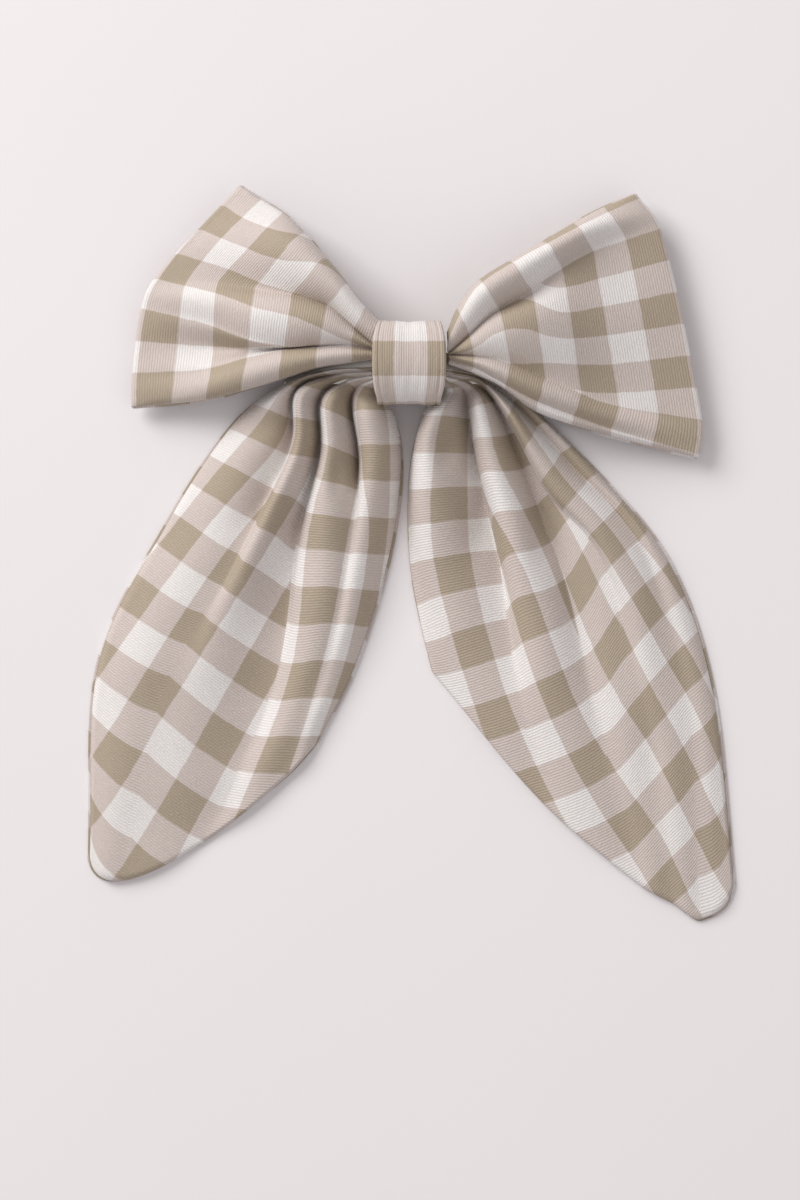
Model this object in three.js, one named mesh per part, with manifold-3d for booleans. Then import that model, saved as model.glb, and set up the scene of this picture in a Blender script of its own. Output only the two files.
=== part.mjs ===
// A gingham hair bow that lies face up: two loops and two pointed tails of ribbed cloth, gathered
// under a wrapped knot, with a spring barrette behind it. Millimetres. +Y runs from the tails to
// the loops, +Z comes out of the bow's face, and z = 0 is the surface that the bow lies on.

import * as THREE from 'three';
import { mergeVertices } from 'three/addons/utils/BufferGeometryUtils.js';
import Module from 'manifold-3d';

const wasm = await Module();
wasm.setup();

// Driving dimensions of the cloth
const clothThickness = 0.7;
const knot = { x: -0.7, width: 20.4, wall: 0.9 };
const threadRadius = 0.3;
const binding = { turns: 3, pitch: 1.3 };
const loopBinding = { y: 57.4, z: 19.45, halfY: 5.4, halfZ: 2.65 };
const tailBinding = { y: 50, z: 14, halfY: 4.4, halfZ: 1.95 };
const seam = { stitches: 9, length: 17.2, y: 43.7, z: 8.7, reachY: -1.1, reachZ: 1.7 };

// Driving dimensions of the clip, along X from the middle of the knot
const clip = { x: -0.7, y: 51.8, archRadius: 125 };
const plate = { length: 70, width: 8.6, thickness: 0.7, top: 10.3 };
const bar = { length: 54, width: 6, thickness: 0.4, top: 7.5, radius: 280 };
const arm = { width: 5.5, thickness: 0.8, top: 2.6, radius: 713, tipX: 35.4, fromPin: 0.4 };
const armTip = { length: 9, width: 8.6, corner: 1.6 };
const hinge = { x: -32.5, z: 1.5, barrelRadius: 1.4, pinRadius: 0.6, clearance: 0.3 };
const ear = { gap: 7.2, thickness: 0.7, length: 4.6, boss: 1.4, outerTop: 5.2, innerTop: 5.5 };
const frameHole = { x: 31.4, length: 4.4, width: 4.6, corner: 0.4 };
const catchX = frameHole.x;
const catchBase = { length: 5, width: 6.4, thickness: 0.6, top: 4.6 };
const rivet = { radius: 0.7, headRadius: 1.5, headHeight: 0.5, footRadius: 1, footHeight: 0.35, clearance: 0.3 };
const tab = { length: 3.4, thickness: 0.5, top: 3.65, bottom: 0.3, outerFace: 2 };
const pad = { length: 17, width: 8, bottom: 10.6, thickness: 0.9 };

// Materials
const cloth = new THREE.MeshStandardMaterial({ color: 0xc9bcae, roughness: 0.85, metalness: 0 });
const thread = new THREE.MeshStandardMaterial({ color: 0xe9e3dc, roughness: 0.7, metalness: 0 });
const glue = new THREE.MeshStandardMaterial({ color: 0xe4ddd0, roughness: 0.6, metalness: 0 });
const steel = new THREE.MeshStandardMaterial({ color: 0xb9b9b7, roughness: 0.3, metalness: 1 });
const springSteel = new THREE.MeshStandardMaterial({ color: 0xa8a9a8, roughness: 0.35, metalness: 1 });

// ---- Small helpers ----

// Leaves only merged positions, turns an inside-out surface round, and gives fresh normals.
function closedGeometry(geometry) {
  geometry.deleteAttribute('normal');
  geometry.deleteAttribute('uv');
  const merged = mergeVertices(geometry, 1e-4);
  if (signedVolume(merged) < 0) {
    const index = merged.index.array;
    for (let i = 0; i < index.length; i += 3) {
      [index[i + 1], index[i + 2]] = [index[i + 2], index[i + 1]];
    }
  }
  merged.computeVertexNormals();
  return merged;
}

function signedVolume(geometry) {
  const position = geometry.attributes.position;
  const corners = [new THREE.Vector3(), new THREE.Vector3(), new THREE.Vector3()];
  let volume = 0;
  for (let i = 0; i < geometry.index.count; i += 3) {
    corners.forEach((corner, k) => corner.fromBufferAttribute(position, geometry.index.getX(i + k)));
    volume += corners[0].dot(corners[1].clone().cross(corners[2])) / 6;
  }
  return volume;
}

function solidFrom(geometry) {
  const closed = closedGeometry(geometry);
  return new wasm.Manifold(new wasm.Mesh({
    numProp: 3,
    vertProperties: closed.attributes.position.array,
    triVerts: new Uint32Array(closed.index.array),
  }));
}

function geometryFrom(solid) {
  const mesh = solid.getMesh();
  const geometry = new THREE.BufferGeometry();
  geometry.setAttribute('position', new THREE.BufferAttribute(mesh.vertProperties, 3));
  geometry.setIndex(new THREE.BufferAttribute(mesh.triVerts, 1));
  geometry.computeVertexNormals();
  return geometry;
}

function makeNode(name, geometry, material) {
  const mesh = new THREE.Mesh(geometry, material);
  mesh.name = name;
  return mesh;
}

// A shape drawn in X and Z, extruded by a width that is centred on Y = 0.
function extrudeAcross(shape, width) {
  const geometry = new THREE.ExtrudeGeometry(shape, { depth: width, bevelEnabled: false, curveSegments: 16 });
  geometry.rotateX(Math.PI / 2);
  geometry.translate(0, width / 2, 0);
  return geometry;
}

// A shape drawn in X and Y, extruded upwards between two heights.
function extrudeUp(shape, low, high) {
  const geometry = new THREE.ExtrudeGeometry(shape, { depth: high - low, bevelEnabled: false, curveSegments: 8 });
  geometry.translate(0, 0, low);
  return geometry;
}

function cylinderAlongY(radius, length, x, z) {
  const geometry = new THREE.CylinderGeometry(radius, radius, length, 20);
  geometry.translate(x, 0, z);
  return geometry;
}

// The side view of a strip that is bowed upwards: an arc of the given radius with its crown at x = 0.
function bowedStrip(fromX, toX, top, radius, thickness) {
  const heightAt = (x) => top - radius + Math.sqrt(radius * radius - x * x);
  const steps = 20;
  const shape = new THREE.Shape();
  shape.moveTo(fromX, heightAt(fromX));
  for (let i = 1; i <= steps; i++) {
    const x = fromX + (toX - fromX) * i / steps;
    shape.lineTo(x, heightAt(x));
  }
  for (let i = steps; i >= 0; i--) {
    const x = fromX + (toX - fromX) * i / steps;
    shape.lineTo(x, heightAt(x) - thickness);
  }
  shape.closePath();
  return shape;
}

function roundedRectangle(length, width, radius, centreX = 0) {
  const shape = new THREE.Shape();
  const x = centreX - length / 2;
  const y = -width / 2;
  shape.moveTo(x + radius, y);
  shape.lineTo(x + length - radius, y);
  shape.absarc(x + length - radius, y + radius, radius, -Math.PI / 2, 0, false);
  shape.absarc(x + length - radius, y + width - radius, radius, 0, Math.PI / 2, false);
  shape.absarc(x + radius, y + width - radius, radius, Math.PI / 2, Math.PI, false);
  shape.absarc(x + radius, y + radius, radius, Math.PI, Math.PI * 1.5, false);
  return shape;
}

// ---- Gathered cloth ----

// A fan of fold lines: each line is a smooth curve that starts in the knot, and the cloth between
// two neighbouring lines is one roll. rollHeight(t) is the rolls' height at t along the lines.
function makeFan(lines, rollHeight) {
  return { curves: lines.map((points) => curveThrough(points)), rollHeight };
}

function curveThrough(points) {
  return new THREE.CatmullRomCurve3(points.map(([x, y, z]) => new THREE.Vector3(x, y, z)), false, 'centripetal');
}

// A point of the fan at t along its lines and at w, from 0 to 1, across all its rolls: the roll's
// sides steepen towards the fold lines, and its height is a raised cosine.
function fanPoint(fan, t, w) {
  const rolls = fan.curves.length - 1;
  const roll = Math.min(Math.floor(w * rolls + 1e-9), rolls - 1);
  const phase = (w * rolls - roll) * 2 * Math.PI;
  const steepness = 0.5 * (1 - t);
  const across = (phase - steepness * Math.sin(phase)) / (2 * Math.PI);
  const point = fan.curves[roll].getPoint(t).lerp(fan.curves[roll + 1].getPoint(t), across);
  point.z += fan.rollHeight(t, roll) * (1 - Math.cos(phase)) / 2;
  return point;
}

// A flat box bent onto a fan, with its thickness measured straight up and its middle no lower
// than the given height.
function clothPanel(fan, alongSteps, stepsPerRoll, lowest) {
  const rolls = fan.curves.length - 1;
  const geometry = new THREE.BoxGeometry(1, 1, 1, alongSteps, stepsPerRoll * rolls, 1);
  const position = geometry.attributes.position;
  for (let i = 0; i < position.count; i++) {
    const point = fanPoint(fan, position.getX(i) + 0.5, position.getY(i) + 0.5);
    position.setXYZ(i, point.x, point.y, Math.max(point.z, lowest) + position.getZ(i) * clothThickness);
  }
  return closedGeometry(geometry);
}

// A height that goes through evenly spaced values as t runs from 0 to 1.
function profile(values) {
  const curve = new THREE.CatmullRomCurve3(values.map((value, i) => (
    new THREE.Vector3(i / (values.length - 1), value, 0)
  )), false, 'centripetal');
  return (t) => curve.getPoint(t).y;
}

// ---- Loop band ----

// The folds run on from the left loop through the knot to the right loop, from the top edge down.
const leftLoopFolds = [
  [[-44.8, 100.6, 11.5], [-36, 94.2, 14], [-26.2, 85.4, 17], [-16.7, 72.2, 19], [-10.5, 62.7, 19.6]],
  [[-68.2, 76.2, 11], [-50.8, 75.6, 15.5], [-31.2, 71.4, 17.5], [-20, 66.1, 18.8], [-10.5, 59.2, 19.4]],
  [[-72.4, 67.4, 10.6], [-57.8, 64.1, 14.5], [-41.9, 59.5, 17], [-26.2, 58.4, 18.6], [-10.5, 57, 19.4]],
  [[-73.8, 51, 10], [-57.8, 51.8, 12.8], [-41.9, 53.6, 15.6], [-25.6, 55.6, 18.4], [-10.5, 55.2, 19.4]],
  [[-74.4, 42, 9.8], [-57.8, 43.1, 12.4], [-41.9, 46.8, 15.2], [-25.6, 52.4, 18.2], [-10.8, 53.5, 19.4]],
];
const rightLoopFolds = [
  [[9.7, 61.3, 19.6], [17.8, 75.3, 19], [30.4, 83.2, 17], [43, 91.6, 14.5], [59.6, 99.2, 12]],
  [[10.2, 58, 19.4], [18.6, 64.5, 18.8], [30.9, 72, 17.4], [47.2, 83, 15], [65.4, 89.4, 12]],
  [[10.2, 56.4, 19.4], [24.8, 55.4, 18.6], [41.6, 50, 16.5], [58.4, 44, 13.6], [77.2, 39, 10.4]],
  [[10.2, 54.9, 19.4], [19.2, 53, 18.6], [37.4, 45, 16], [54.2, 38.6, 13], [76.6, 33.4, 10]],
  [[10.2, 53.4, 19.4], [19.2, 49.6, 18.4], [36, 39.2, 15.2], [52.8, 34.2, 12.2], [76.2, 28.6, 9.8]],
];
const middleFoldY = [61.4, 59.6, 57.6, 55.4, 53.4];
const frontHeight = 19.3;
const backHeight = 17.9;
const outerFoldRadius = 1.6;

function loopBandFans() {
  const middle = middleFoldY.map((y) => [knot.x, y, frontHeight]);
  const frontLines = leftLoopFolds.map((left, i) => [...left, middle[i], ...rightLoopFolds[i]]);
  const front = makeFan(frontLines, (s, roll) => frontRoll(Math.abs(2 * s - 1)) * (roll === 2 ? 0.5 : 1));
  const backLines = frontLines.map((line, i) => line.map(([x, y, z], k) => [x, y, backLineHeight(k, z, i)]));
  const back = makeFan(backLines, (s) => -backRoll(Math.abs(2 * s - 1)));
  return { front, back };
}

// Roll heights from the knot, where reach is 0, to the outer folds, where it is 1.
const frontRoll = profile([1.6, 1.9, 5, 4.4, 2, 0.5]);
const backRoll = profile([0, 0.1, 0.8, 1.2, 1, 0.5]);

// The back leaf leaves the knot under the front one and sags away from it in the loops, most in
// the middle of the band and least along its two edges.
function backLineHeight(k, frontZ, line) {
  const places = leftLoopFolds[0].length;
  const fromMiddle = Math.abs(k - places) / places;
  const edgeGap = profile([frontHeight - backHeight, 1.7, 3.6, 5.4, 5.2, 2 * outerFoldRadius])(fromMiddle);
  const sag = 1.8 * Math.sin(Math.PI * line / (middleFoldY.length - 1)) * Math.sin(Math.PI * fromMiddle ** 1.4);
  return frontZ - edgeGap - sag;
}

// The band as one long box: back leaf out to the left, round the outer fold, across the front,
// round the right outer fold, and back to its first end behind the knot.
function loopBand() {
  const { front, back } = loopBandFans();
  const backSteps = 9;
  const foldSteps = 4;
  const frontSteps = 20;
  const stepsPerRoll = 4;
  const rolls = front.curves.length - 1;
  const allSteps = 2 * backSteps + 2 * foldSteps + frontSteps;
  const endGap = 0.006;
  const geometry = new THREE.BoxGeometry(1, 1, 1, allSteps, stepsPerRoll * rolls, 1);
  const position = geometry.attributes.position;
  for (let i = 0; i < position.count; i++) {
    const step = Math.round((position.getX(i) + 0.5) * allSteps);
    const w = position.getY(i) + 0.5;
    const out = position.getZ(i) * clothThickness;
    let point;
    if (step < backSteps) {
      point = fanPoint(back, (0.5 - endGap) * (1 - step / backSteps), w);
      point.z -= out;
    } else if (step <= backSteps + foldSteps) {
      point = outerFold(front, back, 0, w, (step - backSteps) / foldSteps, out);
    } else if (step < backSteps + foldSteps + frontSteps) {
      point = fanPoint(front, (step - backSteps - foldSteps) / frontSteps, w);
      point.z += out;
    } else if (step <= backSteps + 2 * foldSteps + frontSteps) {
      point = outerFold(front, back, 1, w, 1 - (step - backSteps - foldSteps - frontSteps) / foldSteps, out);
    } else {
      const inwards = (step - backSteps - 2 * foldSteps - frontSteps) / backSteps;
      point = fanPoint(back, 1 - (0.5 - endGap) * inwards, w);
      point.z -= out;
    }
    position.setXYZ(i, point.x, point.y, point.z);
  }
  return closedGeometry(geometry);
}

// A half circle that joins the back leaf (turn = 0) to the front leaf (turn = 1) at a band end.
function outerFold(front, back, end, w, turn, out) {
  const top = fanPoint(front, end, w);
  const bottom = fanPoint(back, end, w);
  const inner = fanPoint(front, end === 0 ? 0.04 : 0.96, w);
  const outward = new THREE.Vector3(top.x - inner.x, top.y - inner.y, 0).normalize();
  const angle = -Math.PI / 2 + turn * Math.PI;
  const radius = (top.z - bottom.z) / 2 + out;
  const point = top.clone();
  point.z = (top.z + bottom.z) / 2 + radius * Math.sin(angle);
  return point.addScaledVector(outward, radius * Math.cos(angle));
}

// ---- Tails ----

// Fold lines of the front panels, from the knot to the slanted lower edge.
const leftTailFolds = [
  [[-10.9, 52, 14], [-24, 51.4, 11.8], [-36, 47.4, 7.6], [-50, 36.4, 2.2],
    [-69, 7.6, 1.5], [-87.6, -30.8, 1.4], [-89.5, -89.6, 1.4]],
  [[-10.9, 50.9, 14], [-22, 50, 12], [-32.6, 45.2, 8], [-34.4, 29, 2.4],
    [-49.4, -1.4, 1.5], [-69, -37.8, 1.4], [-80.4, -89.9, 1.4]],
  [[-10.9, 49.6, 14], [-19, 48.4, 12], [-25.4, 43, 7.6], [-25.8, 28, 2.2],
    [-32.3, 2.8, 1.5], [-38.2, -35, 1.4], [-57.8, -80.1, 1.4]],
  [[-10.9, 48.4, 14], [-15.6, 46.2, 12], [-16.6, 40.4, 7.2], [-14.7, 26, 2.2],
    [-16.7, 5, 1.5], [-22.8, -26.6, 1.4], [-35.4, -62.4, 1.4]],
  [[-10.9, 47.2, 14], [-13, 43.6, 11], [-5, 37.6, 6.2], [-2.9, 24.2, 2.2],
    [-6.6, -1.4, 1.5], [-15.8, -30.8, 1.4], [-26.2, -52.4, 1.4]],
];
const rightTailFolds = [
  [[9.5, 47.2, 14], [11.6, 43.6, 11], [4.2, 36.6, 6.2], [-0.6, 22, 2.2],
    [-0.4, -1.4, 1.5], [2.7, -19.6, 1.4], [6, -32.8, 1.4]],
  [[9.5, 48.4, 14], [14.6, 45.6, 12], [16, 39.4, 7.2], [18.2, 25, 2.2],
    [22.6, -1.4, 1.5], [29, -35, 1.4], [36, -68.6, 1.4]],
  [[9.5, 49.6, 14], [17.6, 47.6, 12], [24, 41, 7.6], [33.2, 19, 2.4],
    [43.3, -8.4, 1.5], [52.8, -49, 1.4], [64, -92.4, 1.4]],
  [[9.5, 50.9, 14], [19.4, 48.9, 12.2], [29, 42, 8], [44.4, 25.2, 2.6],
    [64, 3, 1.5], [77, -40.6, 1.4], [80.8, -101.9, 1.4]],
  [[9.5, 52, 14], [20.6, 49.4, 12.2], [32, 42.6, 8.2], [52.8, 22.4, 2.6],
    [72.4, -2.8, 1.5], [84.1, -37.8, 1.4], [89.6, -93.8, 1.4]],
];

// Roll heights of a tail from the knot to its cut edge, and each roll's share of them.
const tailRoll = profile([1.1, 1.3, 3, 4.6, 4.4, 2.6, 1.4, 0.7]);
const leftShares = [0.4, 0.8, 0.9, 0.8];
const rightShares = [0.8, 0.8, 0.7, 0.3];
const panelGap = 1.25;

// The panel lies on a fan whose lines go on into the middle of the knot. The back panel keeps
// under the front one as far as the hooked folds, and lies on the surface from there on.
function tailPanel(folds, side, isFront) {
  const shares = side < 0 ? leftShares : rightShares;
  const lines = folds.map((line, i) => {
    const fromLowest = side < 0 ? folds.length - 1 - i : i;
    const middle = [knot.x + side * 1.2, 47.4 + fromLowest * 1.3, 14];
    return [middle, ...line].map(([x, y, z], k) => [x, y, isFront ? z : backPanelHeight(k, z)]);
  });
  const fan = makeFan(lines, (t, roll) => (isFront ? tailRoll(t) * shares[roll] : 0));
  const lowest = clothThickness / 2 + (isFront ? clothThickness + 0.3 : 0);
  return clothPanel(fan, isFront ? 14 : 10, isFront ? 4 : 2, lowest);
}

function backPanelHeight(k, frontZ) {
  const lastRaised = 3;
  return k <= lastRaised ? frontZ - panelGap : clothThickness / 2;
}

// ---- Knot, threads and pad ----

// The wrap's outline in Y and Z, all the way round: from the middle of its back up the upper side,
// over the front and down the lower side.
const wrapOutline = [[52.3, 7.9], [57.6, 7.95], [61.6, 9.8], [64.2, 14], [64.9, 19], [62.6, 23.6], [57, 25.6],
  [50.5, 25.2], [44.8, 22], [42.3, 17.4], [42.2, 13], [44, 9.6], [47.4, 7.95]];

// The wrap is the ring between a rounded outline and the same outline drawn in by the wall.
function knotWrap() {
  const outer = smoothOutline(wrapOutline);
  const inner = insetOutline(outer, knot.wall);
  const shape = new THREE.Shape(outer);
  shape.holes.push(new THREE.Path(inner));
  const geometry = new THREE.ExtrudeGeometry(shape, { depth: knot.width, bevelEnabled: false, steps: 1 });
  const alongX = new THREE.Matrix4().makeBasis(
    new THREE.Vector3(0, 1, 0),
    new THREE.Vector3(0, 0, 1),
    new THREE.Vector3(1, 0, 0),
  );
  geometry.applyMatrix4(alongX);
  geometry.translate(knot.x - knot.width / 2, 0, 0);
  return closedGeometry(geometry);
}

function smoothOutline(points) {
  const curve = new THREE.CatmullRomCurve3(points.map(([y, z]) => new THREE.Vector3(y, z, 0)), true, 'centripetal');
  const sides = 40;
  return curve.getPoints(sides).slice(0, sides).map((point) => new THREE.Vector2(point.x, point.y));
}

// Each corner moves in by the distance, along the outline's normal there.
function insetOutline(points, distance) {
  return points.map((point, i) => {
    const before = points[(i + points.length - 1) % points.length];
    const after = points[(i + 1) % points.length];
    const along = after.clone().sub(before).normalize();
    return new THREE.Vector2(point.x - along.y * distance, point.y + along.x * distance);
  });
}

// A thread wound round a neck: a helix whose turns are rounded rectangles in Y and Z.
function boundThread(neck) {
  const points = [];
  const stepsPerTurn = 14;
  const steps = binding.turns * stepsPerTurn;
  for (let i = 0; i <= steps; i++) {
    const angle = i / stepsPerTurn * 2 * Math.PI;
    points.push(new THREE.Vector3(
      knot.x + (i / stepsPerTurn - binding.turns / 2) * binding.pitch,
      neck.y + neck.halfY * roundedCos(angle),
      neck.z + neck.halfZ * roundedCos(angle - Math.PI / 2),
    ));
  }
  return sweptThread(points, steps);
}

// A cosine with flattened tops, which turns an ellipse into a rounded rectangle.
function roundedCos(angle) {
  const value = Math.cos(angle);
  return Math.sign(value) * Math.abs(value) ** 0.4;
}

function sweptThread(points, steps) {
  const section = new THREE.Shape(new THREE.EllipseCurve(0, 0, threadRadius, threadRadius).getPoints(6).slice(0, 6));
  const path = new THREE.CatmullRomCurve3(points, false, 'centripetal');
  return closedGeometry(new THREE.ExtrudeGeometry(section, { steps, extrudePath: path, bevelEnabled: false }));
}

// The whip stitch zigzags along the wrap's end, on the slanted lower side of its back.
function wrapSeamThread() {
  const points = [];
  for (let i = 0; i <= 2 * seam.stitches; i++) {
    const x = knot.x + seam.length * (i / (2 * seam.stitches) - 0.5);
    const rise = i % 2 === 0 ? 0 : 1;
    points.push(new THREE.Vector3(x, seam.y + seam.reachY * rise, seam.z + seam.reachZ * rise));
  }
  return sweptThread(points, 4 * seam.stitches);
}

function gluePad() {
  const shape = roundedRectangle(pad.length, pad.width, 2);
  return closedGeometry(extrudeUp(shape, pad.bottom, pad.bottom + pad.thickness));
}

// ---- Barrette, drawn about its own middle ----

function barrettePlate() {
  const half = plate.length / 2;
  const arch = bowedStrip(-half, half, plate.top, clip.archRadius, plate.thickness);
  const outline = extrudeUp(roundedRectangle(plate.length, plate.width, 2.4), 0, plate.top + 1);
  let solid = solidFrom(extrudeAcross(arch, plate.width)).intersect(solidFrom(outline));
  for (const side of [-1, 1]) {
    solid = solid.add(solidFrom(hingeEar(side)));
  }
  solid = solid.subtract(solidFrom(cylinderAlongY(hinge.pinRadius + hinge.clearance, 12, hinge.x, hinge.z)));
  const rivetHole = new THREE.CylinderGeometry(
    rivet.radius + rivet.clearance,
    rivet.radius + rivet.clearance,
    4,
    16,
  );
  rivetHole.rotateX(Math.PI / 2);
  rivetHole.translate(catchX, 0, catchBase.top + 1);
  return geometryFrom(solid.subtract(solidFrom(rivetHole)));
}

// One ear: a plate that hangs from the arch and is rounded about the pin.
function hingeEar(side) {
  const half = ear.length / 2;
  const shape = new THREE.Shape();
  shape.moveTo(hinge.x - half, ear.outerTop);
  shape.lineTo(hinge.x - ear.boss, hinge.z);
  shape.absarc(hinge.x, hinge.z, ear.boss, Math.PI, 2 * Math.PI, false);
  shape.lineTo(hinge.x + half, ear.innerTop);
  shape.closePath();
  const geometry = extrudeAcross(shape, ear.thickness);
  geometry.translate(0, side * (ear.gap + ear.thickness) / 2, 0);
  return geometry;
}

function hingePin() {
  return closedGeometry(cylinderAlongY(hinge.pinRadius, ear.gap + 2 * ear.thickness + 0.8, hinge.x, hinge.z));
}

// The arm about the hinge: barrel, bowed strip, and a wider tip with the frame's hole.
function claspArm() {
  const start = hinge.x + arm.fromPin;
  const strip = bowedStrip(start, arm.tipX, arm.top, arm.radius, arm.thickness);
  const tip = roundedRectangle(armTip.length, armTip.width, armTip.corner, arm.tipX - armTip.length / 2);
  const bodyEnd = arm.tipX - armTip.length / 2;
  const body = roundedRectangle(bodyEnd - start, arm.width, arm.fromPin, (bodyEnd + start) / 2);
  const throughArm = (shape) => solidFrom(extrudeUp(shape, -1, arm.top + 2.4));
  const outline = throughArm(body).add(throughArm(tip));
  const hole = roundedRectangle(frameHole.length, frameHole.width, frameHole.corner, frameHole.x);
  const barrel = solidFrom(cylinderAlongY(hinge.barrelRadius, arm.width, hinge.x, hinge.z));
  const bore = solidFrom(cylinderAlongY(hinge.pinRadius + hinge.clearance, 12, hinge.x, hinge.z));
  const solid = solidFrom(extrudeAcross(strip, armTip.width))
    .intersect(outline)
    .subtract(throughArm(hole))
    .add(barrel)
    .subtract(bore);
  return geometryFrom(solid);
}

function tensionBar() {
  const half = bar.length / 2;
  const side = bowedStrip(-half, half, bar.top, bar.radius, bar.thickness);
  const outline = extrudeUp(roundedRectangle(bar.length, bar.width, 2), 0, 12);
  return geometryFrom(solidFrom(extrudeAcross(side, bar.width)).intersect(solidFrom(outline)));
}

function catchBasePlate() {
  const shape = roundedRectangle(catchBase.length, catchBase.width, 0.6, catchX);
  const hole = new THREE.Path();
  hole.absarc(catchX, 0, rivet.radius + rivet.clearance, 0, 2 * Math.PI, true);
  shape.holes.push(hole);
  return closedGeometry(extrudeUp(shape, catchBase.top - catchBase.thickness, catchBase.top));
}

// The rivet: a shank with a head above the plate and a pressed head under the catch base.
function catchRivet() {
  const low = catchBase.top - catchBase.thickness - rivet.clearance;
  const plateDrop = (catchX - rivet.headRadius) ** 2 / (2 * clip.archRadius);
  const high = plate.top - plateDrop + rivet.clearance;
  const profilePoints = [
    [0, low - rivet.footHeight], [rivet.footRadius, low - rivet.footHeight], [rivet.footRadius, low],
    [rivet.radius, low], [rivet.radius, high], [rivet.headRadius, high],
    [rivet.headRadius - 0.3, high + rivet.headHeight], [0, high + rivet.headHeight],
  ];
  const geometry = new THREE.LatheGeometry(profilePoints.map(([r, z]) => new THREE.Vector2(r, z)), 20);
  geometry.rotateX(Math.PI / 2);
  geometry.translate(catchX, 0, 0);
  return closedGeometry(geometry);
}

// A catch tab: a thin leaf that hangs through the frame, with a foot that leans outwards.
function catchTab(side) {
  const inner = tab.outerFace - tab.thickness;
  const shape = new THREE.Shape();
  shape.moveTo(inner - 0.1, tab.top);
  shape.lineTo(inner - 0.1, 1.4);
  shape.lineTo(inner + 0.1, tab.bottom);
  shape.lineTo(tab.outerFace - 0.2, tab.bottom);
  shape.lineTo(tab.outerFace, 1.3);
  shape.lineTo(tab.outerFace - 0.1, tab.top);
  shape.closePath();
  const geometry = new THREE.ExtrudeGeometry(shape, { depth: tab.length, bevelEnabled: false });
  const acrossAndUp = new THREE.Matrix4().makeBasis(
    new THREE.Vector3(0, side, 0),
    new THREE.Vector3(0, 0, 1),
    new THREE.Vector3(1, 0, 0),
  );
  geometry.applyMatrix4(acrossAndUp);
  geometry.translate(catchX - tab.length / 2, 0, 0);
  return closedGeometry(geometry);
}

// ---- Assembly ----

const bow = new THREE.Group();

const clothGroup = new THREE.Group();
clothGroup.add(
  makeNode('loop_band', loopBand(), cloth),
  makeNode('tail_left_front', tailPanel(leftTailFolds, -1, true), cloth),
  makeNode('tail_left_back', tailPanel(leftTailFolds, -1, false), cloth),
  makeNode('tail_right_front', tailPanel(rightTailFolds, 1, true), cloth),
  makeNode('tail_right_back', tailPanel(rightTailFolds, 1, false), cloth),
  makeNode('knot_wrap', knotWrap(), cloth),
  makeNode('loop_binding_thread', boundThread(loopBinding), thread),
  makeNode('tail_binding_thread', boundThread(tailBinding), thread),
  makeNode('wrap_seam_thread', wrapSeamThread(), thread),
);

const barrette = new THREE.Group();
barrette.position.set(clip.x, clip.y, 0);
barrette.add(
  makeNode('glue_pad', gluePad(), glue),
  makeNode('barrette_plate', barrettePlate(), steel),
  makeNode('hinge_pin', hingePin(), steel),
  makeNode('clasp_arm', claspArm(), steel),
  makeNode('tension_bar', tensionBar(), springSteel),
  makeNode('catch_base', catchBasePlate(), steel),
  makeNode('catch_rivet', catchRivet(), steel),
  makeNode('catch_tab_front', catchTab(-1), springSteel),
  makeNode('catch_tab_rear', catchTab(1), springSteel),
);

bow.add(clothGroup, barrette);

export default bow;
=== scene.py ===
import bpy
import math
import numpy as np
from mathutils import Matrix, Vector


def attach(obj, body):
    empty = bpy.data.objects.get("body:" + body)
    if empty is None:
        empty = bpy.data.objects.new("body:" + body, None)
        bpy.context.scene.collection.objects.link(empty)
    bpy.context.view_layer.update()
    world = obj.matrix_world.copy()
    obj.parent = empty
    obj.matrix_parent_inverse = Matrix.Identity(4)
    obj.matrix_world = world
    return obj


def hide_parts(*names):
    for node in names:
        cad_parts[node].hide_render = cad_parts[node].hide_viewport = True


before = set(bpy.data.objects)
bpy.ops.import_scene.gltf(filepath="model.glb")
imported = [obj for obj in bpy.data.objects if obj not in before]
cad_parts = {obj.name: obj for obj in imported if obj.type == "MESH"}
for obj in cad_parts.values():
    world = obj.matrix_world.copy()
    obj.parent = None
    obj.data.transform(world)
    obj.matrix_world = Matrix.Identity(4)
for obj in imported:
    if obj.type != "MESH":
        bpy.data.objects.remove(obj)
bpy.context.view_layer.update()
mm = 0.001
check = 9.8   # side of one printed check, mm
print("frame loaded")

scene = bpy.context.scene
scene.view_settings.view_transform = "Standard"
scene.view_settings.look = "None"

# a camera straight above the bow, far enough off to flatten it; lengths in mm
view = {"centre": (-3.2, -12.6), "frameHeight": 336.0, "distance": 1400.0, "sensor": 36, "clipEnd": 20000}
cameraData = bpy.data.cameras.new("camera")
cameraData.sensor_fit = "VERTICAL"
cameraData.sensor_height = view["sensor"]
cameraData.lens = view["sensor"] * view["distance"] / view["frameHeight"]
cameraData.clip_end = view["clipEnd"] * mm
camera = bpy.data.objects.new("camera", cameraData)
camera.location = (view["centre"][0] * mm, view["centre"][1] * mm, view["distance"] * mm)
scene.collection.objects.link(camera)
scene.camera = camera

# a large key lamp from the upper left, a weak fill from the right, and pale light all round
light = {
    "key": {"place": (-1.25, 1.15, 1.15), "size": (1.1, 1.1), "power": 35.0, "colour": (1.0, 0.99, 0.98)},
    "fill": {"place": (0.9, -0.5, 1.2), "size": (1.2, 1.2), "power": 1.5, "colour": (0.97, 0.98, 1.0)},
    "world": {"strength": 0.56, "colour": "f6f1f2"},
}


# A soft rectangular lamp at its place in metres, aimed at the origin.
def addLamp(name, settings):
    data = bpy.data.lights.new(name, "AREA")
    data.shape = "RECTANGLE"
    data.size, data.size_y = settings["size"]
    data.energy = settings["power"]
    data.color = settings["colour"]
    lamp = bpy.data.objects.new(name, data)
    lamp.location = settings["place"]
    lamp.rotation_euler = (-Vector(settings["place"])).to_track_quat("-Z", "Y").to_euler()
    scene.collection.objects.link(lamp)


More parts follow.
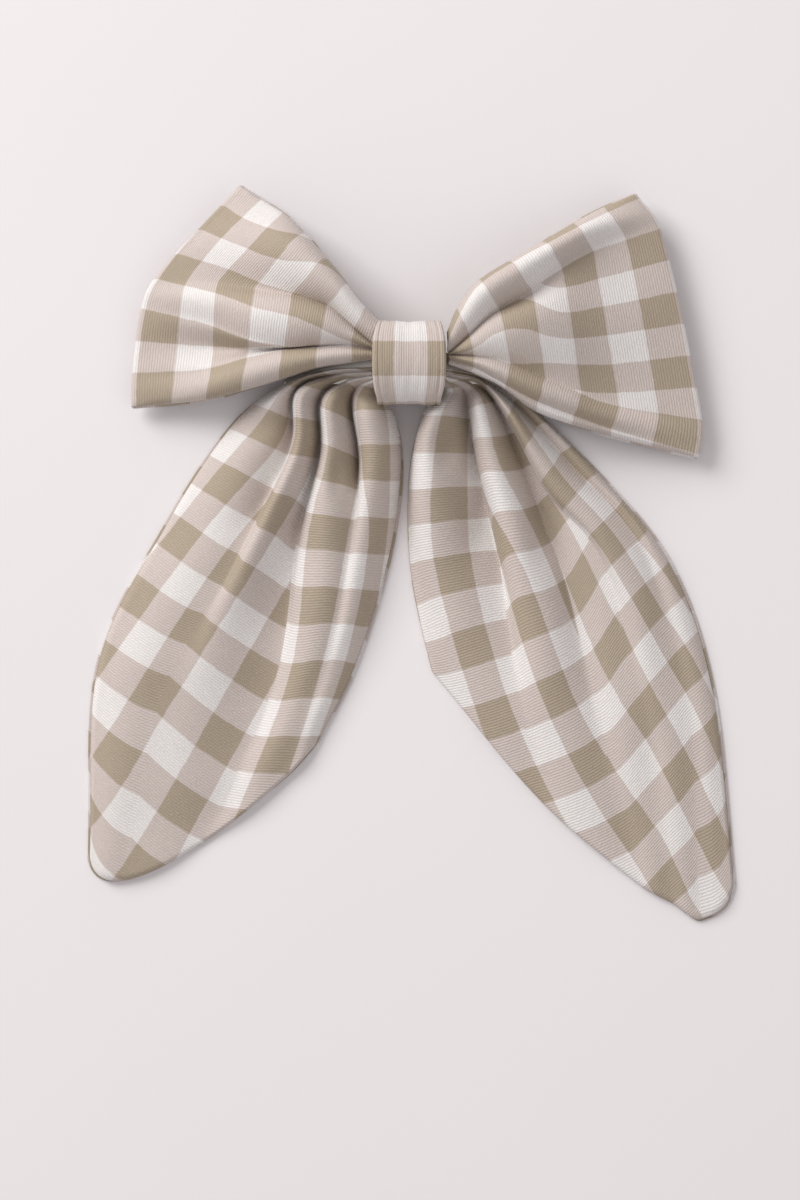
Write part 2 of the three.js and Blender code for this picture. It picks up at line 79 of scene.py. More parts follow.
addLamp("keyLamp", light["key"])
addLamp("fillLamp", light["fill"])


# A six-digit sRGB hex colour as linear light: c / 12.92 in the darkest tones, and otherwise
# ((c + 0.055) / 1.055) to the power 2.4.
def hexColour(text):
    srgb = np.array([int(text[i:i + 2], 16) for i in (0, 2, 4)]) / 255
    linear = np.where(srgb <= 0.04045, srgb / 12.92, ((srgb + 0.055) / 1.055) ** 2.4)
    return tuple(float(c) for c in linear) + (1.0,)


# Adds one node, sets its properties and its inputs' values, and links other nodes' outputs to its
# inputs.
def addNode(tree, kind, properties=None, values=None, links=None):
    node = tree.nodes.new(kind)
    for key, value in (properties or {}).items():
        setattr(node, key, value)
    for key, value in (values or {}).items():
        node.inputs[key].default_value = value
    for key, source in (links or {}).items():
        tree.links.new(source, node.inputs[key])
    return node


# An empty material with a node tree.
def newMaterial(name):
    material = bpy.data.materials.new(name)
    material.use_nodes = True
    material.node_tree.nodes.clear()
    return material, material.node_tree


world = bpy.data.worlds.new("studio")
world.use_nodes = True
background = world.node_tree.nodes["Background"]
background.inputs["Color"].default_value = hexColour(light["world"]["colour"])
background.inputs["Strength"].default_value = light["world"]["strength"]
scene.world = world

# Cotton gingham, printed on a fine ribbed weave: soft-edged checks in white, beige and khaki, a
# little grain in the print, a rib every 0.7 mm that catches the light through its bump and also has
# painted light on its crest and painted shade in its trough, and a slight satin sheen.
gingham = {
    "white": "e6e2df", "beige": "ccc0b9", "khaki": "ac9e8b", "edge": 0.08, "wander": 0.05,
    "ribsPerCheck": 14, "ribBreak": 5.0,
    # the rib share is painted light and shade: the print is lighter on each rib's crest, darker in its trough
    "base": 0.84, "ribShading": 0.06, "grain": 0.2, "mottle": 0.08,   # shares of the brightness
    "bump": 0.45, "bumpDistance": 0.00014, "grainHeight": 0.6,
    "roughness": 0.62, "specular": 0.35, "sheen": 0.12, "sheenRoughness": 0.4,
    # each noise: scale in cycles per check, detail, roughness
    "noises": {"wander": (2.2, 2, 0.5), "ribBreak": (14, 3, 0.5),
               "grain": (38, 4, 0.7), "mottle": (5, 3, 0.5)},
}


def ginghamMaterial(name, settings):
    material, tree = newMaterial(name)
    uv = addNode(tree, "ShaderNodeUVMap", {"uv_map": "cloth"})
    noises = {}
    for key, (scale, detail, roughness) in settings["noises"].items():
        noises[key] = addNode(tree, "ShaderNodeTexNoise", {"noise_dimensions": "2D"},
                              {"Scale": scale, "Detail": detail, "Roughness": roughness},
                              {"Vector": uv.outputs["UV"]})
    # the print wanders by a fraction of a millimetre
    centred = addNode(tree, "ShaderNodeVectorMath", {"operation": "SUBTRACT"}, {1: (0.5, 0.5, 0.5)},
                      {0: noises["wander"].outputs["Color"]})
    shift = addNode(tree, "ShaderNodeVectorMath", {"operation": "SCALE"}, {"Scale": settings["wander"]},
                    {0: centred.outputs[0]})
    moved = addNode(tree, "ShaderNodeVectorMath", {"operation": "ADD"}, None,
                    {0: uv.outputs["UV"], 1: shift.outputs[0]})
    axes = addNode(tree, "ShaderNodeSeparateXYZ", None, None, {0: moved.outputs[0]})
    # stripes each way: the sign of sin(pi u), with soft edges
    stripes = []
    for axis, sign in (("X", 1), ("Y", -1)):
        turn = addNode(tree, "ShaderNodeMath", {"operation": "MULTIPLY"}, {1: math.pi},
                       {0: axes.outputs[axis]})
        wave = addNode(tree, "ShaderNodeMath", {"operation": "SINE"}, None, {0: turn.outputs[0]})
        stripe = addNode(tree, "ShaderNodeMapRange", {"interpolation_type": "SMOOTHSTEP"},
                         {"From Min": -settings["edge"] * sign, "From Max": settings["edge"] * sign},
                         {"Value": wave.outputs[0]})
        stripes.append(stripe.outputs[0])
    mixes = []
    for low, high in (("white", "beige"), ("beige", "khaki")):
        mix = addNode(tree, "ShaderNodeMix", {"data_type": "RGBA"},
                      {6: hexColour(settings[low]), 7: hexColour(settings[high])}, {0: stripes[0]})
        mixes.append(mix.outputs[2])
    checks = addNode(tree, "ShaderNodeMix", {"data_type": "RGBA"}, None,
                     {0: stripes[1], 6: mixes[0], 7: mixes[1]})
    # the rib wave: a sine wave along the first axis, whose phase wanders with a noise. It is the bump's
    # height, and it also paints light on each crest and shade in each trough.
    plain = addNode(tree, "ShaderNodeSeparateXYZ", None, None, {0: uv.outputs["UV"]})
    ribTurn = addNode(tree, "ShaderNodeMath", {"operation": "MULTIPLY"},
                      {1: 2 * math.pi * settings["ribsPerCheck"]}, {0: plain.outputs["X"]})
    ribPhase = addNode(tree, "ShaderNodeMath", {"operation": "MULTIPLY_ADD"}, {1: settings["ribBreak"]},
                       {0: noises["ribBreak"].outputs["Fac"], 2: ribTurn.outputs[0]})
    ribShading = addNode(tree, "ShaderNodeMath", {"operation": "SINE"}, None, {0: ribPhase.outputs[0]})
    # brightness of the print = 0.84 + 0.06 rib wave (painted rib light and shade) + 0.2 grain + 0.08 mottle
    bright = addNode(tree, "ShaderNodeMath", {"operation": "MULTIPLY_ADD"},
                     {1: settings["ribShading"], 2: settings["base"]}, {0: ribShading.outputs[0]})
    for key in ("grain", "mottle"):
        bright = addNode(tree, "ShaderNodeMath", {"operation": "MULTIPLY_ADD"}, {1: settings[key]},
                         {0: noises[key].outputs["Fac"], 2: bright.outputs[0]})
    tinted = addNode(tree, "ShaderNodeVectorMath", {"operation": "SCALE"}, None,
                     {0: checks.outputs[2], "Scale": bright.outputs[0]})
    height = addNode(tree, "ShaderNodeMath", {"operation": "MULTIPLY_ADD"}, {1: settings["grainHeight"]},
                     {0: noises["grain"].outputs["Fac"], 2: ribShading.outputs[0]})
    bump = addNode(tree, "ShaderNodeBump", None,
                   {"Strength": settings["bump"], "Distance": settings["bumpDistance"]},
                   {"Height": height.outputs[0]})
    shader = addNode(tree, "ShaderNodeBsdfPrincipled", None,
                     {"Roughness": settings["roughness"], "Specular IOR Level": settings["specular"],
                      "Sheen Weight": settings["sheen"], "Sheen Roughness": settings["sheenRoughness"]},
                     {"Base Color": tinted.outputs[0], "Normal": bump.outputs[0]})
    addNode(tree, "ShaderNodeOutputMaterial", None, None, {"Surface": shader.outputs[0]})
    return material


clothMaterial = ginghamMaterial("cottonGinghamPrintedRib", gingham)


# Metal, thread, felt: one base colour broken up by noise in object space, with a fine bump.
# scale is the noise's size in cycles per metre, stretch its proportions along the three axes, and
# the roughness swings from 0.8 to 1.25 times its value with the same noise.
def plainMaterial(name, colour, darker, roughness, metallic, scale, stretch, bumpDistance, sheen=0.0):
    material, tree = newMaterial(name)
    place = addNode(tree, "ShaderNodeTexCoord")
    mapped = addNode(tree, "ShaderNodeMapping", None, {"Scale": stretch}, {"Vector": place.outputs["Object"]})
    noise = addNode(tree, "ShaderNodeTexNoise", None, {"Scale": scale, "Detail": 4, "Roughness": 0.6},
                    {"Vector": mapped.outputs[0]})
    mix = addNode(tree, "ShaderNodeMix", {"data_type": "RGBA"},
                  {6: hexColour(darker), 7: hexColour(colour)}, {0: noise.outputs["Fac"]})
    rough = addNode(tree, "ShaderNodeMapRange", None,
                    {"To Min": roughness * 0.8, "To Max": min(roughness * 1.25, 1)},
                    {"Value": noise.outputs["Fac"]})
    bump = addNode(tree, "ShaderNodeBump", None, {"Strength": 0.4, "Distance": bumpDistance},
                   {"Height": noise.outputs["Fac"]})
    shader = addNode(tree, "ShaderNodeBsdfPrincipled", None, {"Metallic": metallic, "Sheen Weight": sheen},
                     {"Base Color": mix.outputs[2], "Roughness": rough.outputs[0], "Normal": bump.outputs[0]})
    addNode(tree, "ShaderNodeOutputMaterial", None, None, {"Surface": shader.outputs[0]})
    return material


# Nickel-plated steel, stamped and barrel polished: bright, with faint streaks along the clip.
platedSteel = plainMaterial("nickelPlatedSteelStamped", "d9d6d0", "b7b4ae", 0.24, 1.0,
                            900, (0.15, 1, 1), 0.00002)
# Spring steel, cold rolled: a little greyer, with fine rolling lines along the strip.
springSteel = plainMaterial("springSteelRolled", "c4c3c0", "9c9b98", 0.32, 1.0,
                            1600, (0.06, 1, 1), 0.00002)
# Wool felt set in hot-melt glue: matt, off-white, with a fuzzy surface.
feltMaterial = plainMaterial("woolFeltPressed", "ece5da", "d5ccbf", 0.9, 0.0,
                             1500, (1, 1, 1), 0.0002, 0.4)
# Cotton thread, twisted from two plies: matt, with streaks about a millimetre long for the twist.
threadMaterial = plainMaterial("cottonThreadTwisted", "f1ece4", "cfc6ba", 0.75, 0.0,
                               1400, (1, 0.5, 0.5), 0.00012, 0.3)

finishes = {
    "barrette_plate": platedSteel, "clasp_arm": platedSteel, "catch_base": platedSteel,
    "catch_rivet": platedSteel, "hinge_pin": platedSteel, "tension_bar": springSteel,
    "catch_tab_front": springSteel, "catch_tab_rear": springSteel, "glue_pad": feltMaterial,
    "loop_binding_thread": threadMaterial, "tail_binding_thread": threadMaterial,
    "wrap_seam_thread": threadMaterial,
}
for nodeName, finish in finishes.items():
    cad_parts[nodeName].data.materials.clear()
    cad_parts[nodeName].data.materials.append(finish)
print("materials made")

# Painted board: pale and matt, with hardly any mottling. Size in metres.
tableTop = {"size": 6.0, "colour": "ebe7e8", "lighter": "edeaeb", "mottleScale": 6,
            "roughness": 0.9, "specular": 0.1}


# A flat square under the bow, seen through from below so that the back can be looked at.
def makeTableTop(settings):
    half = settings["size"] / 2
    mesh = bpy.data.meshes.new("tableTop")
    corners = [(-half, -half, 0), (half, -half, 0), (half, half, 0), (-half, half, 0)]
    mesh.from_pydata(corners, [], [(0, 1, 2, 3)])
    board = bpy.data.objects.new("tableTop", mesh)
    scene.collection.objects.link(board)
    material, tree = newMaterial("matBoardPainted")
    place = addNode(tree, "ShaderNodeTexCoord")
    noise = addNode(tree, "ShaderNodeTexNoise", None, {"Scale": settings["mottleScale"], "Detail": 2},
                    {"Vector": place.outputs["Object"]})
    mix = addNode(tree, "ShaderNodeMix", {"data_type": "RGBA"},
                  {6: hexColour(settings["colour"]), 7: hexColour(settings["lighter"])},
                  {0: noise.outputs["Fac"]})
    shader = addNode(tree, "ShaderNodeBsdfPrincipled", None,
                     {"Roughness": settings["roughness"], "Specular IOR Level": settings["specular"]},
                     {"Base Color": mix.outputs[2]})
    clear = addNode(tree, "ShaderNodeBsdfTransparent")
    side = addNode(tree, "ShaderNodeNewGeometry")
    both = addNode(tree, "ShaderNodeMixShader", None, None,
                   {0: side.outputs["Backfacing"], 1: shader.outputs[0], 2: clear.outputs[0]})
    addNode(tree, "ShaderNodeOutputMaterial", None, None, {"Surface": both.outputs[0]})
    mesh.materials.append(material)


makeTableTop(tableTop)


# The cubic from a to b whose slopes at its two ends are slopeA and slopeB, at f from 0 to 1.
def cubic(a, b, slopeA, slopeB, f):
    return ((1 + 2 * f) * (1 - f) ** 2) * a + (f * (1 - f) ** 2) * slopeA \
        + (f * f * (3 - 2 * f)) * b + (f * f * (f - 1)) * slopeB


# A smooth line through points that are evenly spaced in t: on each stretch a cubic whose slopes at
# its ends are half the difference of the neighbouring points, and at the line's own two ends the
# whole difference from the next point.
def alongLine(points, t):
    points = np.asarray(points, float)
    place = np.clip(t, 0, 1) * (len(points) - 1)
    i = np.minimum(place.astype(int), len(points) - 2)
    f = (place - i)[:, None]
    slope = np.gradient(points, axis=0)
    return cubic(points[i], points[i + 1], slope[i], slope[i + 1], f)


# The same smooth line through single values.
def lineValues(values, t):
    return alongLine(np.asarray(values, float)[:, None], t)[:, 0]


crowding = 1.5   # how closely the grid's columns crowd towards a free edge


# Gathered cloth between fold lines. A fold line is a smooth curve from the knot outwards, and the
# cloth between two neighbours is one roll: at w from 0 to 1 across it the height is a raised
# cosine, roll (1 - cos 2 pi w) / 2, and the point moves on by w - steep sin(2 pi w) / 2 pi, which
# steepens the sides towards an upright crease as steep goes to 1. lean pushes the crest sideways.
# Over the t range of fade the straight line across a roll gives way to a cubic, whose direction on
# each fold line is the step between its two neighbours over the distance across them. On the two
# free edges tipTurn adds a vector in mm, times t to the tenth power, which rounds the tip.
# Returns for each roll its points and the cloth's own u and v, in checks. u and v run evenly, by
# length across the roll, between the values on its two fold lines. Where two rolls press together
# along a crease the print jumps there, from u and v to uAfter and vAfter.
def gatheredCloth(lines, rolls, t, stepsAcross, fade, tipTurn=((0, 0), (0, 0))):
    curves = [alongLine(line["points"], t) for line in lines]
    chords = np.linalg.norm(np.diff(np.array(curves), axis=0), axis=2)[..., None]
    slopes = [(curves[1] - curves[0]) / chords[0]]
    for k in range(1, len(curves) - 1):
        slopes.append((curves[k + 1] - curves[k - 1]) / (chords[k - 1] + chords[k]))
    slopes.append((curves[-1] - curves[-2]) / chords[-1])
    for edge, turn in zip((0, -1), tipTurn):
        slopes[edge] = slopes[edge] + np.array([turn[0], turn[1], 0.0]) * (t ** 10)[:, None] / chords[edge]
    fading = np.clip((t - fade[0]) / (fade[1] - fade[0]), 0, 1)[:, None, None]
    fading = fading * fading * (3 - 2 * fading)
    strips = []
    for k, roll in enumerate(rolls):
        x = np.linspace(0, 1, stepsAcross + 1)
        if k == 0:
            x = x ** crowding
        if k == len(rolls) - 1:
            x = 1 - (1 - x) ** crowding
        w = x[None, :]
        height = lineValues(roll["height"], t)[:, None]
        steep = lineValues(roll["steep"], t)[:, None]
        lean = lineValues(roll.get("lean", [0, 0]), t)[:, None]
        bump = (1 - np.cos(2 * np.pi * w)) / 2
        across = w - steep * np.sin(2 * np.pi * w) / (2 * np.pi) + lean * bump
        first, last = curves[k][:, None, :], curves[k + 1][:, None, :]
        slopeFirst = (slopes[k] * chords[k])[:, None, :]
        slopeLast = (slopes[k + 1] * chords[k])[:, None, :]
        f = across[..., None]
        straight = first + (last - first) * f
        points = straight + (cubic(first, last, slopeFirst, slopeLast, f) - straight) * fading
        points[..., 2] += height * bump
        length = runLength(points, 1)
        part = length / length[:, -1:]
        uFirst = lineValues(lines[k].get("uAfter", lines[k]["u"]), t)[:, None]
        uLast = lineValues(lines[k + 1]["u"], t)[:, None]
        vFirst = lineValues(lines[k].get("vAfter", lines[k]["v"]), t)[:, None]
        vLast = lineValues(lines[k + 1]["v"], t)[:, None]
        strips.append((points, uFirst + (uLast - uFirst) * part, vFirst + (vLast - vFirst) * part))
    return strips


# Small creases and slackness, as heights. Near the knot two short sine waves across the cloth, that
# die away as exp(-5 t), stand for the gathers. Three long waves in u and v stand for its slack.
def slackness(u, v, t, near, far):
    gathers = np.sin(2 * np.pi * (v * 2.3 + 0.35 * np.sin(1.1 * u))) \
        + 0.6 * np.sin(2 * np.pi * (v * 3.9 + 0.2 * u) + 1.3)
    slack = np.sin(1.9 * u + 1.2 * v + 0.4) + 0.7 * np.sin(0.9 * u - 2.3 * v + 2.1) \
        + 0.5 * np.sin(3.1 * u + 2.7 * v)
    return near * np.exp(-5 * t) * gathers + far * slack / 2


# The drop of a rounded edge: a quarter circle of the given radius, by the distance from the edge.
def edgeDrop(distance, radius):
    inside = np.clip(1 - distance / radius, 0, 1)
    return radius * (1 - np.sqrt(np.clip(1 - inside ** 2, 0, 1)))


# Strips side by side as one array, with each shared column used once.
def sideBySide(strips):
    return np.concatenate([strips[0]] + [strip[:, 1:] for strip in strips[1:]], axis=1)


# Joins the rolls' strips into one grid of points. u and v stay in strips, so that each face corner
# keeps the values of its own strip.
def joinStrips(strips):
    return sideBySide([s[0] for s in strips]), [s[1] for s in strips], [s[2] for s in strips]


# Length along each row or column of a grid, from its start.
def runLength(points, axis):
    step = np.linalg.norm(np.diff(points, axis=axis), axis=2)
    start = np.zeros((1, points.shape[1])) if axis == 0 else np.zeros((points.shape[0], 1))
    return np.concatenate([start, np.cumsum(step, axis=axis)], axis=axis)


# A mesh from one or more grids of points in millimetres, each with its u and v strips in checks.
# Four neighbouring points make one face, and flip turns the faces over.
def gridMesh(name, grids, thickness, material, flip=False):
    near, far = slice(None, -1), slice(1, None)
    corners = ((near, near), (far, near), (far, far), (near, far))
    allPoints, allFaces, allUv, start = [], [], [], 0
    for points, us, vs in grids:
        rows, columns = points.shape[:2]
        index = np.arange(rows * columns).reshape(rows, columns) + start
        faces = np.stack([index[corner] for corner in corners], axis=-1).reshape(-1, 4)
        cornerUv = []
        for corner in corners:
            both = [np.concatenate([strip[corner] for strip in strips], axis=1) for strips in (us, vs)]
            cornerUv.append(np.stack(both, axis=-1))
        uv = np.stack(cornerUv, axis=2).reshape(-1, 4, 2)
        if flip:
            faces, uv = faces[:, ::-1], uv[:, ::-1]
        allPoints.append(points.reshape(-1, 3))
        allFaces.append(faces)
        allUv.append(uv.reshape(-1, 2))
        start += rows * columns
    mesh = bpy.data.meshes.new(name)
    mesh.from_pydata((np.concatenate(allPoints) * mm).tolist(), [], np.concatenate(allFaces).tolist())
    layer = mesh.uv_layers.new(name="cloth")
    layer.data.foreach_set("uv", np.concatenate(allUv).astype(np.float32).ravel())
    mesh.polygons.foreach_set("use_smooth", np.ones(len(mesh.polygons), bool))
    mesh.materials.append(material)
    piece = bpy.data.objects.new(name, mesh)
    scene.collection.objects.link(piece)
    solid = piece.modifiers.new("clothThickness", "SOLIDIFY")
    solid.thickness = thickness * mm
    solid.offset = -1
    solid.use_rim = True
    return piece


# Tails. Lengths are in mm, and t runs from 0 at the knot to 1 at the tip.
tailSettings = {
    "rows": 190, "rowCrowding": 1.25, "stepsAcross": 24, "thickness": 0.55, "fade": (0.45, 0.85),
    "edgeRadius": 2.0, "endRadius": 1.6, "endDrop": 1.0, "near": 0.12, "far": 0.25,
    "freeAfter": 25, "edgeCalm": 6, "endCalm": 8,   # the slack grows over these distances
    "lowest": 1.2, "printShift": 1,
}
# growFrom, growOver and dropOver are in t
backSettings = {
    "rows": 190, "stepsAcross": 12, "thickness": 0.55, "fade": (0.45, 0.85), "growFrom": 0.35,
    "growOver": 0.2, "rootHeight": 7.6, "dropOver": 0.45, "dropPower": 1.6, "restHeight": 0.06,
    "wave": 0.03, "printShift": (0.6, 1),
}
tailLean = [0, -0.05, -0.16, -0.18, -0.16, -0.08, 0]

# Fold lines from one free edge to the other, and the rolls between them. Each dent is x, y, its two
# half-widths and its depth.
leftTail = {
    "tipTurn": ((-7, -14), (0, 0)),
    "dents": [(-42, 36, 6, 5, 2.0), (-20.6, 23, 2.6, 6, 1.6), (-29, 2, 3.4, 10, 1.2)],
    "lines": [
        {"points": [(-10.9, 52, 14), (-24, 51.4, 10), (-36, 47.4, 6.4), (-50, 36.4, 3.2), (-69, 7.6, 2.4),
                    (-87.6, -30.8, 2.2), (-90, -84.5, 1.7)],
         "u": [-0.6, 0.75, 2.0, 3.85, 7.5, 11.7, 16.6], "v": [0, 0, 0, 0.2, 0.8, 1.8, 4.4]},
        {"points": [(-10.9, 50.9, 14), (-22, 50, 9), (-32.6, 45.2, 5.4), (-34.4, 29, 2.4),
                    (-49.4, -1.4, 6.2), (-69, -37.8, 5.2), (-80.4, -91, 2.6)],
         "u": [-0.1, 1.05, 2.2, 3.9, 7.2, 11.4, 16.0], "v": [2.3, 2.3, 2.3, 2.5, 3.4, 3.7, 5.2]},
        {"points": [(-10.9, 49.6, 14), (-19, 48.4, 8), (-25.4, 43, 4.6), (-25.8, 28, 1.6), (-32.3, 2.8, 1.4),
                    (-38.2, -35, 1.5), (-57.8, -80.1, 1.7)],
         "u": [0.65, 1.5, 2.35, 3.9, 5.85, 9.4, 14.0], "v": [4, 4, 4.05, 4.15, 4.65, 6.0, 6.5],
         "uAfter": [0.2, 1.0, 1.85, 3.4, 6.0, 9.5, 14.0], "vAfter": [6.3, 6.3, 6.3, 6.3, 6.4, 6.55, 6.5]},
        {"points": [(-10.9, 48.4, 14), (-15.6, 46.2, 7.4), (-16.6, 40.4, 4.2), (-14.7, 26, 1.8),
                    (-16.7, 5, 6.6), (-22.8, -26.6, 5.4), (-35.4, -62.4, 2.6)],
         "u": [0.5, 1.05, 1.65, 3.1, 5.5, 8.7, 12.1], "v": [8, 8, 8, 8.0, 8.1, 8.1, 7.9],
         "uAfter": [0.6, 1.2, 1.85, 3.4, 5.5, 8.7, 12.1], "vAfter": [8.3, 8.3, 8.3, 8.3, 8.1, 8.1, 7.9]},
        {"points": [(-9.9, 47.2, 14), (-9.4, 44.4, 8), (-4.4, 38.4, 5), (-2.9, 24.2, 3), (-6.6, -1.4, 2.4),
                    (-15.8, -30.8, 2.2), (-26.2, -52.4, 1.7)],
         "u": [0.85, 1.25, 2.25, 3.65, 6.15, 9.05, 11.2], "v": [10.3, 10.4, 10.5, 10.6, 10.2, 9.6, 9.1]},
    ],
    "rolls": [
        {"height": [1.0, 2.0, 6.4, 5.4, 1.8, 0.8, 0.6], "steep": [0.8, 0.8, 0.7, 0.5, 0.2, 0.1, 0.1]},
        {"height": [1.0, 2.2, 10.0, 9.6, 4.2, 1.0, 0.4], "steep": [0.8, 0.8, 0.75, 0.7, 0.4, 0.1, 0.1],
         "lean": tailLean},
        {"height": [1.0, 2.2, 10.6, 10.2, 6.4, 2.4, 0.6], "steep": [0.8, 0.8, 0.75, 0.75, 0.6, 0.4, 0.1],
         "lean": tailLean},
        {"height": [1.0, 2.2, 10.6, 9.8, 3.0, 0.8, 0.6], "steep": [0.8, 0.85, 0.85, 0.85, 0.5, 0.1, 0.1],
         "lean": tailLean},
    ],
}

rightTail = {
    "tipTurn": ((0, 0), (-6, 14)),
    "dents": [(9.6, 31, 3.2, 6.5, 2.6), (18, 8, 3.6, 9, 1.8), (36, 4, 4, 9, 1.2)],
    "lines": [
        {"points": [(8.5, 47.2, 14), (8.4, 45.2, 8), (2.6, 38.2, 5), (-0.6, 22, 3), (-0.4, -1.4, 2.4),
                    (2.7, -19.6, 2.2), (6, -32.8, 1.7)],
         "u": [1.7, 2.1, 3.1, 4.65, 6.9, 8.5, 9.9], "v": [0, 0, 0, 0, 0.15, 0.2, 0.3]},
        {"points": [(9.5, 48.4, 14), (14.6, 45.6, 7.4), (16, 39.4, 4.2), (18.2, 25, 1.6), (24.4, -1.4, 2.2),
                    (29, -35, 4.2), (36, -68.6, 2.4)],
         "u": [1.6, 2.2, 2.85, 4.35, 7.3, 10.7, 13.9], "v": [2, 2, 2, 2.3, 2.8, 2.4, 1.7],
         "uAfter": [2.9, 3.45, 4.1, 5.6, 7.8, 10.7, 13.9], "vAfter": [4.3, 4.3, 4.3, 4.2, 2.95, 2.4, 1.7]},
        {"points": [(9.5, 49.6, 14), (17.6, 47.6, 8), (24, 41, 4.6), (33.2, 19, 1.6), (43.3, -8.4, 2.2),
                    (52.8, -49, 4.0), (64, -92.4, 2.4)],
         "u": [2.6, 3.3, 4.2, 6.5, 9.15, 12.9, 16.9], "v": [5.4, 5.4, 5.5, 5.6, 5.35, 4.25, 2.75],
         "vAfter": [5, 5, 5, 5, 4.95, 4.2, 2.75]},
        {"points": [(9.5, 50.3, 14), (18.6, 47.9, 9.4), (26.5, 38, 7.4), (37.7, 17.6, 3.6), (52.8, -2, 5.2),
                    (64.5, -44, 4.6), (73, -97.4, 2.4)],
         "u": [2.3, 3.25, 4.55, 6.9, 9.7, 13.4, 18.0], "v": [5.8, 5.8, 5.8, 6.0, 6.4, 5.3, 3.3],
         "uAfter": [2.7, 3.65, 4.95, 7.3, 9.7, 13.4, 18.0], "vAfter": [6.6, 6.6, 6.6, 6.5, 6.4, 5.3, 3.3]},
        {"points": [(9.5, 50.9, 14), (19.4, 48.9, 9), (29, 42, 5.6), (44.4, 25.2, 3.4), (64, 3, 4.0),
                    (77, -40.6, 3.6), (80.8, -101.9, 2.0)],
         "u": [2.9, 3.9, 5.1, 7.4, 10.1, 14.2, 18.9], "v": [8.8, 8.8, 8.85, 8.9, 9.0, 6.9, 3.9],
         "vAfter": [9, 9, 9, 9, 9, 6.9, 3.9]},
        {"points": [(9.5, 52, 14), (20.6, 49.4, 10), (32, 42.6, 6.6), (52.8, 22.4, 3.0), (72.4, -2.8, 2.4),
                    (84.1, -37.8, 2.2), (90, -91.5, 1.7)],
         "u": [2.7, 3.85, 5.2, 8.1, 11.1, 14.5, 18.8], "v": [9.8, 9.8, 9.8, 9.8, 9.5, 8.1, 5.5]},
    ],
    "rolls": [
        {"height": [1.0, 2.2, 10.8, 10.2, 6.2, 2.0, 0.6], "steep": [0.8, 0.8, 0.7, 0.6, 0.4, 0.2, 0.1],
         "lean": tailLean},
        {"height": [1.0, 2.2, 10.6, 10.8, 8.2, 3.0, 0.6], "steep": [0.8, 0.8, 0.8, 0.8, 0.7, 0.4, 0.1],
         "lean": tailLean},
        {"height": [0.1, 0.1, 0.1, 0.2, 0.4, 0.6, 0.4], "steep": [0, 0, 0, 0, 0, 0, 0]},
        {"height": [1.0, 2.0, 7.0, 6.6, 3.4, 1.0, 0.4], "steep": [0.8, 0.85, 0.85, 0.85, 0.4, 0.1, 0],
         "lean": tailLean},
        {"height": [0.8, 1.0, 1.4, 1.4, 1.0, 0.6, 0.3], "steep": [0.5, 0.5, 0.5, 0.4, 0.2, 0, 0]},
    ],
}


# One tail's front panel: gathered cloth, a little slack, and its free edges rounded down. A dent
# takes depth exp(-(dx / half-width)^2 - (dy / half-height)^2) off the height.
def tailFront(name, tail, settings):
    t = 1 - (1 - np.linspace(0, 1, settings["rows"])) ** settings["rowCrowding"]
    points, us, vs = joinStrips(gatheredCloth(tail["lines"], tail["rolls"], t, settings["stepsAcross"],
                                              settings["fade"], tail["tipTurn"]))
    us = [u + settings["printShift"] for u in us]
    across = runLength(points, 1)
    along = runLength(points, 0)
    fromEdge = np.minimum(across, across[:, -1:] - across)
    fromEnd = along[-1:] - along
    free = np.clip(along / settings["freeAfter"], 0, 1)
    slack = slackness(sideBySide(us), sideBySide(vs), t[:, None], settings["near"], settings["far"])
    points[..., 2] += slack * free * np.clip(fromEdge / settings["edgeCalm"], 0, 1) \
        * np.clip(fromEnd / settings["endCalm"], 0, 1)
    for x, y, halfWidth, halfHeight, depth in tail["dents"]:
        points[..., 2] -= depth * np.exp(-((points[..., 0] - x) / halfWidth) ** 2
                                         - ((points[..., 1] - y) / halfHeight) ** 2)
    points[..., 2] -= edgeDrop(fromEdge, settings["edgeRadius"]) * free
    points[..., 2] -= np.minimum(edgeDrop(fromEnd, settings["endRadius"]), settings["endDrop"])
    points[..., 2] = np.maximum(points[..., 2], settings["lowest"])
    return gridMesh(name, [(points, us, vs)], settings["thickness"], clothMaterial)


# The back panel: the same outline as the front one, wider by outward at its two edges, without its
# rolls. It falls from the knot as (1 - drop) to a power, and then lies flat on the table.
def tailBack(name, tail, settings, outward):
    t = np.linspace(0, 1, settings["rows"])
    flatRolls = [{"height": [0, 0], "steep": [0, 0]} for roll in tail["rolls"]]
    points, _, _ = joinStrips(gatheredCloth(tail["lines"], flatRolls, t, settings["stepsAcross"],
                                            settings["fade"], tail["tipTurn"]))
    across = runLength(points, 1)
    s = across / across[:, -1:]
    side = points[:, -1] - points[:, 0]
    side[:, 2] = 0
    side /= np.linalg.norm(side, axis=1)[:, None]
    grow = np.clip((t - settings["growFrom"]) / settings["growOver"], 0, 1)[:, None]
    shift = grow * (outward[1] * s - outward[0] * (1 - s))
    points = points + side[:, None, :] * shift[..., None]
    drop = np.clip(t / settings["dropOver"], 0, 1)[:, None]
    points[..., 2] = settings["rootHeight"] * (1 - drop) ** settings["dropPower"] \
        + settings["restHeight"] + settings["wave"] * (1 + np.sin(7 * s)) * drop
    first, last = tail["lines"][0], tail["lines"][-1]
    u, v = [lineValues(first[key], t)[:, None] * (1 - s) + lineValues(last[key], t)[:, None] * s + offset
            for key, offset in zip("uv", settings["printShift"])]
    return gridMesh(name, [(points, [u], [v])], settings["thickness"], clothMaterial, flip=True)


